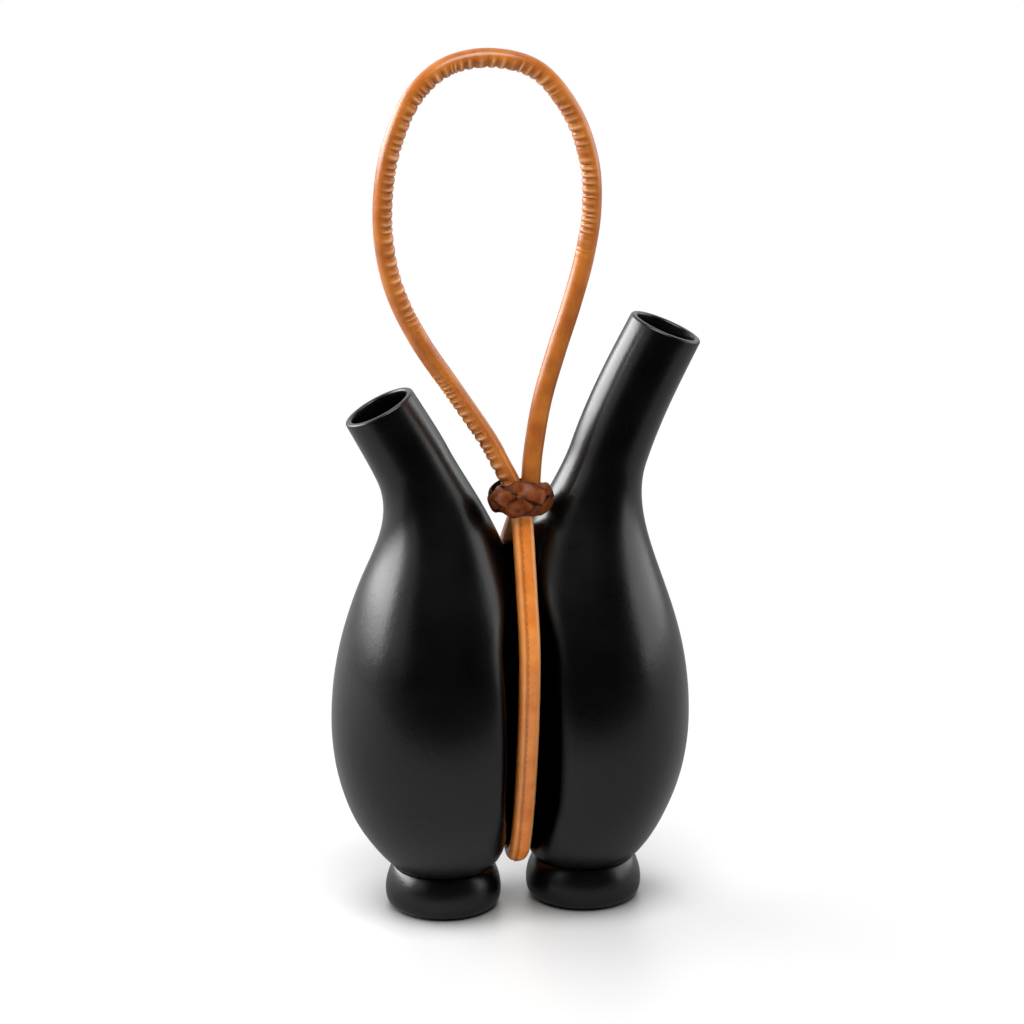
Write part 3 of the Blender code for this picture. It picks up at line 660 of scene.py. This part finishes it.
def rib_height(reached):
    """Fullness between two creases, from 0 to 1 on the ridge, and how strongly it is pressed."""
    after = next(index for index, rib in enumerate(ribs) if rib > max(reached, 0.0))
    share = (reached - ribs[after - 1]) / (ribs[after] - ribs[after - 1])
    strength = RIB_PRESS + PRESS_CHANGE * noise.noise(Vector((after * 2.3, 5.1, 0.0)))
    return math.sin(math.pi * min(max(share, 0.0), 1.0)) ** RIB_ROUND, strength


def window(span, share):
    """1 inside a span of the loop's length, easing to 0 at its ends."""
    begun = smoothstep(span[0] - RIB_FADE, span[0] + RIB_FADE, share)
    lasting = smoothstep(span[1] + RIB_FADE, span[1] - RIB_FADE, share)
    return begun * lasting


loop_rings = []
loop_marks = []
for point, way, reached in zip(loop_route, headings(loop_route), loop_reached):
    inward = Vector((way.z, 0.0, -way.x)).normalized()
    ring = []
    marks = []
    for index in range(STRAP_SIDES):
        turn = 2.0 * math.pi * index / STRAP_SIDES
        slant = RIB_SLANT * math.sin(turn) * math.cos(turn)
        fullness, strength = rib_height(min(max(reached + slant, 0.0), loop_length))
        inner = window(INNER_RIBS, reached / loop_length) * smoothstep(*INNER_EDGE, math.cos(turn))
        left = window(LEFT_RIBS, reached / loop_length) * smoothstep(*LEFT_EDGE, -math.cos(turn))
        press = max(inner, left) * strength
        radius = LOOP_DIAMETER / 2.0 - RIB_DEPTH * press * (1.0 - fullness)
        ring.append(point + inward * (radius * math.cos(turn)) + FRONT * (radius * math.sin(turn)))
        # Painted highlight on the ridges and painted shade in the creases
        lightened = RIDGE_HIGHLIGHT * smoothstep(RIDGE_START, 1.0, fullness)
        marks.append(press * (CREASE_SHADE * (1.0 - fullness) - lightened))
    loop_rings.append(ring)
    loop_marks.append(marks)
loop_skin = sweep(loop_rings, marks=loop_marks)
loop = piece("carrying_loop", loop_skin, loop_leather, None, "loop_cover", "loop_core")
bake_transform(loop)


# Knot: one flat strip woven three times round
def knot_point(turn):
    """Middle of the woven strip after a turn, with the direction its face looks in."""
    phase = KNOT_BIGHTS * turn / KNOT_LEADS
    wave = math.sin(2.0 * phase)
    weave = WEAVE_DEPTH * wave * math.hypot(1.0, WEAVE_HOLD) / math.hypot(wave, WEAVE_HOLD)
    middle = KNOT_BORE + WEAVE_DEPTH + STRIP_THICKNESS / 2.0
    radius = middle + KNOT_BULGE * math.sin(phase) ** 2 + weave
    angle = turn + KNOT_TURN
    height = WEAVE_HEIGHT / 2.0 * math.cos(phase) * (1.0 - KNOT_TAPER * math.cos(angle) ** 2)
    place = Vector((radius * math.cos(angle), (radius - KNOT_FLATTEN) * math.sin(angle), height))
    face = Vector((math.cos(angle), math.sin(angle), STRIP_ROLL * math.cos(phase))).normalized()
    tilt = Matrix.Rotation(-KNOT_TILT, 3, "X")
    return KNOT_MIDDLE + Vector((0.0, 0.0, KNOT_RISE)) + tilt @ place, tilt @ face


knot_count = KNOT_STEPS * KNOT_LEADS
knot_rings = []
knot_edge_shade = []
for index in range(knot_count):
    turn = 2.0 * math.pi * KNOT_LEADS * index / knot_count
    point, face = knot_point(turn)
    way = (knot_point(turn + KNOT_PROBE)[0] - knot_point(turn - KNOT_PROBE)[0]).normalized()
    across = way.cross(face).normalized()
    out = across.cross(way)
    width = STRIP_WIDTH * (1.0 - STRIP_TAPER * KNOT_TAPER * math.cos(turn + KNOT_TURN) ** 2)
    ring = []
    marks = []
    for corner in range(STRIP_SIDES):
        angle = 2.0 * math.pi * corner / STRIP_SIDES
        wide = math.copysign(abs(math.cos(angle)) ** STRIP_EDGE, math.cos(angle))
        thick = math.copysign(abs(math.sin(angle)) ** STRIP_FACE, math.sin(angle))
        crown = STRIP_CROWN * (1.0 - wide * wide)
        ring.append(point + across * (wide * width / 2.0) + out * (thick * STRIP_THICKNESS / 2.0 + crown))
        # Painted shade towards the strip's edges
        marks.append(smoothstep(EDGE_SHADE_START, 1.0, abs(wide)))
    knot_rings.append(ring)
    knot_edge_shade.append(marks)
knot = piece("woven_knot", sweep(knot_rings, closed=True, marks=knot_edge_shade), knot_leather, "vase", "knot")

# Floor: matt white board that reads as white where it is fully lit, with the vase's shadow and a faint mirror
BOARD_TONE = 0.84            # how bright the board is to the camera
MIRROR_SHARE = 0.24          # how much of what the camera sees in it is mirrored
SHADE_REACH = 26.0 * MM      # how far round the feet the contact shadow is deepened
BOARD_SIZE = 4.0             # half its width
BOARD_FRONT = 0.36           # from the vase to its front edge
FADE_START = 0.13            # from the vase, where the board begins to go over to the white background
FADE_END = 0.36
floor_finish, tree, shader = new_material("matt_white_board")
rays = add(tree, "ShaderNodeLightPath")
bounce = add(tree, "ShaderNodeMix", {"Factor": rays.outputs["Is Glossy Ray"], "A": linear("#F4F4F4"),
                                     "B": linear("#A6A6A6")}, data_type="RGBA")
shade = add(tree, "ShaderNodeAmbientOcclusion", {"Color": (BOARD_TONE, BOARD_TONE, BOARD_TONE, 1.0),
                                                 "Distance": SHADE_REACH}, samples=8)
tone = add(tree, "ShaderNodeMix", {"Factor": rays.outputs["Is Camera Ray"], "A": bounce.outputs[2],
                                   "B": shade.outputs["Color"]}, data_type="RGBA")
chalk = add(tree, "ShaderNodeBsdfDiffuse", {"Color": tone.outputs[2]})
mirror = add(tree, "ShaderNodeBsdfGlossy", {"Color": linear("#FFFFFF"), "Roughness": 0.42})
mirrored = add(tree, "ShaderNodeMath", {0: rays.outputs["Is Camera Ray"], 1: MIRROR_SHARE},
               operation="MULTIPLY")
board = add(tree, "ShaderNodeMixShader", {"Fac": mirrored.outputs["Value"], 1: chalk.outputs["BSDF"],
                                          2: mirror.outputs["BSDF"]})
coords = add(tree, "ShaderNodeTexCoord").outputs["Object"]
distance = add(tree, "ShaderNodeVectorMath", {0: coords}, operation="LENGTH")
fade = add(tree, "ShaderNodeMapRange", {"Value": distance.outputs["Value"], "From Min": FADE_START,
                                        "From Max": FADE_END}, interpolation_type="SMOOTHSTEP")
far = add(tree, "ShaderNodeMath", {0: fade.outputs["Result"], 1: rays.outputs["Is Camera Ray"]},
          operation="MULTIPLY")
white = add(tree, "ShaderNodeEmission", {"Color": linear("#FFFFFF"), "Strength": 1.0})
whole = add(tree, "ShaderNodeMixShader", {"Fac": far.outputs["Value"], 1: board.outputs["Shader"],
                                          2: white.outputs["Emission"]})
tree.links.new(whole.outputs["Shader"], tree.nodes["Material Output"].inputs["Surface"])
tree.nodes.remove(shader)
bm = bmesh.new()
bmesh.ops.create_grid(bm, x_segments=1, y_segments=1, size=BOARD_SIZE)
bmesh.ops.translate(bm, verts=bm.verts, vec=(0.0, BOARD_SIZE - BOARD_FRONT, 0.0))
floor_mesh = bpy.data.meshes.new("floor")
bm.to_mesh(floor_mesh)
bm.free()
floor_mesh.materials.append(floor_finish)
floor = bpy.data.objects.new("floor", floor_mesh)
bpy.context.scene.collection.objects.link(floor)


# Studio light
def softbox(name, place, aim_height, size, power, mirrored=True):
    """Area lamp that looks at a height of the vase, seen in shiny surfaces or not."""
    lamp = bpy.data.lights.new(name, "AREA")
    lamp.shape = "RECTANGLE"
    lamp.size, lamp.size_y = size
    lamp.energy = power
    made = bpy.data.objects.new(name, lamp)
    made.location = place
    made.visible_glossy = mirrored
    back = Vector(place) - Vector((0.0, 0.0, aim_height))
    made.rotation_euler = back.to_track_quat("Z", "Y").to_euler()
    bpy.context.scene.collection.objects.link(made)


softbox("left_softbox", (-1.24, 0.58, 0.60), 0.22, (1.85, 0.6), 35.0)
softbox("left_fill", (-1.27, -0.59, 0.58), 0.22, (0.7, 0.6), 1.0)
softbox("right_softbox", (1.38, 0.06, 0.46), 0.22, (1.55, 0.75), 8.4)
softbox("top_softbox", (0.0, -0.62, 1.65), 0.20, (1.3, 0.8), 27.0)
softbox("front_fill", (0.1, -1.3, 0.12), 0.08, (0.8, 0.3), 3.8, mirrored=False)

# Background: plain white to the camera, but dark in front of the vase and bright behind it to all else
ROOM_SHARE = 0.4             # how much of that brightness lights matt surfaces
world = bpy.data.worlds.new("studio")
world.use_nodes = True
bpy.context.scene.world = world
tree = world.node_tree
background = tree.nodes["Background"]
rays = add(tree, "ShaderNodeLightPath")
coords = add(tree, "ShaderNodeTexCoord").outputs["Generated"]
direction = add(tree, "ShaderNodeSeparateXYZ", {"Vector": coords})
rear = add(tree, "ShaderNodeMapRange", {"Value": direction.outputs["Y"], "From Min": -0.05, "From Max": 0.45,
                                        "To Min": 0.02, "To Max": 1.0}, interpolation_type="SMOOTHSTEP")
soft = add(tree, "ShaderNodeMath", {0: rear.outputs["Result"], 1: ROOM_SHARE}, operation="MULTIPLY")
lit = add(tree, "ShaderNodeMix", {"Factor": rays.outputs["Is Glossy Ray"], "A": soft.outputs["Value"],
                                  "B": rear.outputs["Result"]})
seen = add(tree, "ShaderNodeMix", {"Factor": rays.outputs["Is Camera Ray"], "A": lit.outputs[0], "B": 1.0})
tree.links.new(seen.outputs[0], background.inputs["Strength"])
background.inputs["Color"].default_value = (1.0, 1.0, 1.0, 1.0)

bpy.context.scene.view_settings.view_transform = "Standard"
